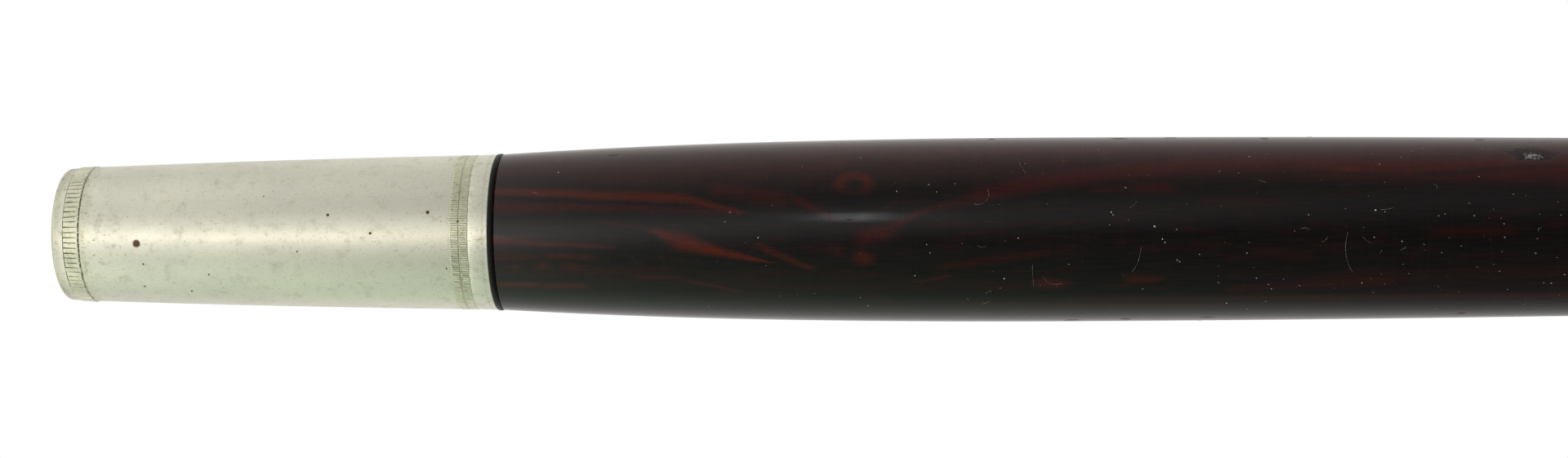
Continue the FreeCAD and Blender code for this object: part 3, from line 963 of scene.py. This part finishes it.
def curl(chance, along, arc, heading, bend, length, steps=14):
    """Points of one hair that lies on the wood and wanders."""
    points = []
    for step in range(steps + 1):
        lift = HAIR_LIFT + HAIR_ARCH * math.sin(math.pi * step / steps)
        points.append(surface_point(along, arc, lift))
        heading += (bend + chance.uniform(-0.5, 0.5)) / steps
        along += length / steps * math.cos(heading)
        arc += length / steps * math.sin(heading)
    return points


HAIRS = (  # place, height, heading, bend, length
    (154.1, -0.5, -1.95, 0.95, 5.2),
    (129.7, -2.2, -1.70, -0.3, 3.2),
    (116.9, -4.2, -1.55, 0.0, 2.9),
    (118.2, -5.6, -1.20, 1.4, 2.6),
    (110.0, 3.1, -0.50, 2.6, 3.2),
    (115.5, 8.1, -1.35, 0.3, 2.1),
    (111.0, -8.9, 0.60, 0.2, 1.2),
    (57.6, 4.8, -0.75, 0.2, 0.8),
    (60.0, 8.5, -0.90, 0.2, 0.8),
    (158.0, 2.2, -0.20, 0.8, 1.6),
    (155.8, -1.0, -0.90, 0.5, 1.3),
    (151.0, -1.6, 0.25, 0.5, 0.9),
    (128.4, 2.5, 0.50, 0.4, 1.2),
    (143.8, 5.7, -0.50, 0.3, 0.9),
)
CRUMBS = (  # place, height, radius
    (131.3, 0.3, 0.20), (132.2, -1.2, 0.13), (132.5, -1.6, 0.12), (126.2, 2.0, 0.14),
    (126.4, 1.7, 0.09), (157.4, 2.1, 0.19), (158.5, 1.9, 0.09), (142.2, -2.9, 0.11),
    (115.2, -1.0, 0.11), (113.6, -5.8, 0.14), (156.1, -6.5, 0.10), (172.3, -5.2, 0.11),
    (128.0, 4.9, 0.11), (134.0, -3.7, 0.12), (134.3, -3.9, 0.10), (143.5, -5.9, 0.12),
    (145.4, -7.2, 0.09), (165.6, 1.6, 0.09), (100.9, 4.6, 0.10), (104.4, -1.7, 0.10),
    (104.8, -2.7, 0.08), (103.0, -5.4, 0.11), (84.5, -0.8, 0.10), (80.6, 1.1, 0.10),
    (81.2, 2.2, 0.09), (60.5, 7.1, 0.10), (105.6, 4.5, 0.08), (161.2, 8.4, 0.08),
    (170.0, 6.0, 0.08), (96.5, -8.0, 0.08), (97.4, -9.0, 0.10), (78.3, -9.0, 0.08),
    (140.3, -8.9, 0.10), (167.5, -2.2, 0.07), (163.1, -2.0, 0.08),
)


def make_lint(material):
    """Hairs at a few places on the front, and shorter ones scattered all round."""
    chance = random.Random(11)
    strands = [
        curl(chance, along, arc_place(along, height), *shape) for along, height, *shape in HAIRS
    ]
    for _ in range(LOOSE_HAIRS):  # places and lengths in millimetres, slants in radians
        along = chance.triangular(95, 325, 190)
        arc, heading = chance.uniform(-34, 34), chance.uniform(-3, 3)
        bend, length = chance.uniform(-2.5, 2.5), chance.uniform(0.3, 1.4)
        strands.append(curl(chance, along, arc, heading, bend, length, steps=8))
    points, edges = [], []
    for strand in strands:
        first = len(points)
        points += strand
        edges += [(first + step, first + step + 1) for step in range(len(strand) - 1)]
    mesh = bpy.data.meshes.new("lint_paths")
    mesh.from_pydata(points, edges, [])
    return grown("lint", strand_tree(), mesh, {"Radius": HAIR_RADIUS, "Material": material})


def make_crumbs(material):
    """The larger crumbs of dust, at their places on the front."""
    mesh = bpy.data.meshes.new("crumb_places")
    places = [surface_point(place, arc_place(place, height)) for place, height, _ in CRUMBS]
    mesh.from_pydata(places, [], [])
    sizes = mesh.attributes.new("size", "FLOAT", "POINT")
    for item, (_, _, radius) in zip(sizes.data, CRUMBS):
        item.value = radius * MM
    return grown("crumbs", crumbs_tree(), mesh, {"Seed": 5, "Material": material})


def outside_skin():
    """The outside of the wood alone, for scattering on."""
    places = between(SHOULDER + 1 * MM, LENGTH - SHOULDER - 1 * MM, 120)
    section = [(HEAD_RIM + along, wood_radius(along)) for along in places]
    return turned("skin", section, 48, closed=False)


# ==== assembly ====

def attach(piece, node=None, body="fife"):
    if node:
        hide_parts(node)
    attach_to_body(piece, body)


def milled(end, name, tree, metal, seed, band, crest, teeth, depth, wear, lean):
    """One ring of teeth, whose tops reach the crest and lean with the cone."""
    start, stop = band
    middle = (start + stop) / 2
    side = 1 if end == "head" else -1
    rim = HEAD_RIM if end == "head" else FOOT_RIM
    return grown(name, tree, bpy.data.meshes.new(name), {
        "Count": teeth, "Radius": crest - depth / 2, "Place": rim + side * middle,
        "Length": (stop - start) * TEETH_REACH, "Width": math.tau * crest / teeth, "Height": depth,
        "Tilt": side * lean, "Wear": wear, "Seed": seed, "Material": metal,
    }, TEETH_ANGLE)


def join(first, others):
    """One piece from several meshes."""
    work = bmesh.new()
    for piece in (first, *others):
        work.from_mesh(piece.data)
    work.to_mesh(first.data)
    work.free()
    for piece in others:
        bpy.data.objects.remove(piece)
    smooth(first.data, TEETH_ANGLE)
    return first


def make_ends():
    tree = teeth_tree()
    metal = nickel_silver()
    rubber = black_rubber()
    thread = thread_material()
    for seed, end in enumerate(("head", "foot"), start=3):
        sleeve = dress(make_sleeve(end), metal)
        attach(sleeve, f"{end}_ferrule")
        crest = ring_radius(sum(COARSE_BAND) / 2)
        coarse = milled(end, f"{end}_coarse_teeth", tree, metal, seed, COARSE_BAND, crest,
                        COARSE_TEETH, COARSE_DEPTH, COARSE_WEAR, RING_SLOPE)
        tip = join(make_tip_ring(end), [coarse])
        attach(dress(tip, metal), f"{end}_tip_ring")
        rows = []
        for number, (low, high) in enumerate(FINE_ROWS):
            band = (COLLAR_START + low, COLLAR_START + high)
            rows.append(milled(end, f"{end}_fine_teeth_{number}", tree, metal, seed + 10 + number, band,
                               ROW_CREST, FINE_TEETH, FINE_DEPTH, FINE_WEAR, FINE_LEAN))
        collar = join(make_collar(end), rows)
        attach(dress(collar, metal), f"{end}_collar")
        attach(dress(make_black_ring(end), rubber), f"{end}_shoulder_ring")
        dress(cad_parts[f"{end}_lapping"], thread)


def make_dust():
    white = plain_fluff("white_dust", (0.42, 0.42, 0.38), (0.16, 0.15, 0.13))
    pale = plain_fluff("pale_crumbs", (0.80, 0.80, 0.74), (0.50, 0.50, 0.44))
    specks = grown("dust_specks", specks_tree(), outside_skin(), {
        "Density": 270000.0, "Smallest": 0.048 * MM, "Largest": 0.13 * MM,
        "Start": HEAD_RIM + 70 * MM, "End": HEAD_RIM + 200 * MM, "Seed": 4, "Material": white,
    })
    lint, crumbs = make_lint(white), make_crumbs(pale)
    for piece, material in ((specks, white), (lint, white), (crumbs, pale)):
        attach(dress(piece, material))


# ==== stage ====

ACROSS = Vector((1, 0, 0))
CAMERA_PLACE = 99.8 * MM  # from the head rim
CAMERA_DISTANCE = 315 * MM
CAMERA_LIFT = 0.15 * MM
ROLL = math.radians(0.28)
LENS = 59.16  # focal length in millimetres, on a sensor 36 mm wide
SHIFT = -0.0661

# light of the room
ROOM_SLOPE = 16.0  # the light falls off by this factor for each unit of direction to the right
WINDOW_LEVEL = 0.63
BAND_LEVEL = 0.29


def make_camera():
    """Above the head half, square to the bore, with the far end a touch higher in the picture."""
    data = bpy.data.cameras.new("camera")
    data.sensor_width = 36.0
    data.lens = LENS
    data.shift_x = SHIFT
    data.clip_start, data.clip_end = 0.01, 20
    camera = new_object("camera", data)
    right = ACROSS * math.cos(ROLL) - UPWARDS * math.sin(ROLL)
    up = UPWARDS * math.cos(ROLL) + ACROSS * math.sin(ROLL)
    below = ACROSS * (HEAD_RIM + CAMERA_PLACE)
    camera.location = below + TOWARDS * CAMERA_DISTANCE + UPWARDS * CAMERA_LIFT
    camera.rotation_euler = Matrix((right, up, TOWARDS)).transposed().to_euler()
    bpy.context.scene.camera = camera


def emptied(owner):
    """The graph of a material or a world, with nothing in it."""
    owner.use_nodes = True
    owner.node_tree.nodes.clear()
    return Graph(owner.node_tree)


def make_floor():
    """A plain white table. It lets reflections through to the lit room, so it casts no hard edge."""
    mesh = bpy.data.meshes.new("floor")
    low = cad_box[0].z
    corners = [(x, y, low) for x, y in ((-4, -4), (4, -4), (4, 4), (-4, 4))]
    mesh.from_pydata(corners, [], [(0, 1, 2, 3)])
    floor = new_object("floor", mesh)
    material = bpy.data.materials.new("white_table")
    graph = emptied(material)
    seen = graph.node("ShaderNodeLightPath", {}, {}, "Is Camera Ray")
    white = graph.node("ShaderNodeEmission")
    through = graph.node("ShaderNodeBsdfTransparent")
    both = graph.node("ShaderNodeMixShader", {}, {0: seen, 1: through, 2: white})
    graph.node("ShaderNodeOutputMaterial", {}, {"Surface": both})
    dress(floor, material)


def make_room():
    """White where the camera sees it. Its light is dim in front and bright behind, with a window on
    the left, a slanting band of light above the camera and green leaves low down."""
    world = bpy.data.worlds.new("room")
    bpy.context.scene.world = world
    graph = emptied(world)
    way = graph.node("ShaderNodeTexCoord", {}, {}, "Generated")
    front, up, across = (graph.dot(way, axis) for axis in (TOWARDS, UPWARDS, ACROSS))
    side = across.bigger(-0.24).smaller(0.3)
    fade = graph.node("ShaderNodeMath", {"operation": "POWER"}, {0: ROOM_SLOPE, 1: side * -1.0})
    dip = (up + 0.18).unsigned().step(0.34, 0.0) * 0.3
    ahead = (front.step(0.95, 0.0) * 0.13 + 0.15) * front.step(-0.87, 0.0) * (1.0 - dip)
    behind = front.step(0.15, -0.95) * 0.74 * (1.0 - side * 0.5)
    band = (up - 0.25 - side * 1.4).unsigned().step(0.55, 0.0) * front.step(0.0, 0.9) * BAND_LEVEL
    pane = (up - (across + 0.295) * 3.0).unsigned().step(0.60, 0.0) * 0.45 + 0.96
    window = across.step(-0.16, -0.35) * front.step(-0.5, 0.4) * pane * WINDOW_LEVEL
    level = (ahead + band) * fade + behind + window
    leafy = up.step(-0.25, -0.75) * front.step(-0.75, -0.2) * across.step(-0.5, -0.18)
    leafy = leafy * across.step(0.26, 0.05)
    tint = graph.mix(leafy, (1.0, 0.985, 0.965), (0.86, 1.03, 0.84))
    seen = graph.node("ShaderNodeLightPath", {}, {}, "Is Camera Ray")
    strength = seen + (1.0 - seen) * level
    tint = graph.mix(seen, tint, (1, 1, 1))
    glow = graph.node("ShaderNodeBackground", {}, {"Color": tint, "Strength": strength})
    graph.node("ShaderNodeOutputWorld", {}, {"Surface": glow})


def soft_lamp(name, place, way, distance, size, power, colour):
    """An oval lamp: its width runs along the bore, and it faces a place on the axis."""
    data = bpy.data.lights.new(name, "AREA")
    data.shape = "ELLIPSE"
    data.size, data.size_y = size
    data.energy, data.color = power, colour
    lamp = new_object(name, data)
    out = way.normalized()
    right = (ACROSS - out * out.x).normalized()
    lamp.location = ACROSS * (HEAD_RIM + place) + out * distance
    lamp.rotation_euler = Matrix((right, out.cross(right), out)).transposed().to_euler()


def raised(degrees, across):
    """The way to a lamp that stands this far above the camera, and this far to the right."""
    angle = math.radians(degrees)
    return TOWARDS * math.cos(angle) + UPWARDS * math.sin(angle) + ACROSS * across


def make_lights():
    """A small cool lamp above the camera, and a weak warm one low on the left."""
    soft_lamp("lamp", place=95.6 * MM, way=raised(16.6, -0.042), distance=CAMERA_DISTANCE,
              size=(0.009, 0.06), power=0.0066, colour=(0.93, 0.96, 1.0))
    soft_lamp("strip", place=30 * MM, way=raised(-6.5, -0.31), distance=0.4,
              size=(0.05, 0.018), power=0.020, colour=(1.0, 0.80, 0.58))


make_camera()
body = make_wood()
attach(dress(body, rosewood()), "wood_body")
make_ends()
dress(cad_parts["cork_stopper"], cork_material())
make_dust()
make_floor()
make_room()
make_lights()
bpy.context.scene.view_settings.view_transform = "Standard"
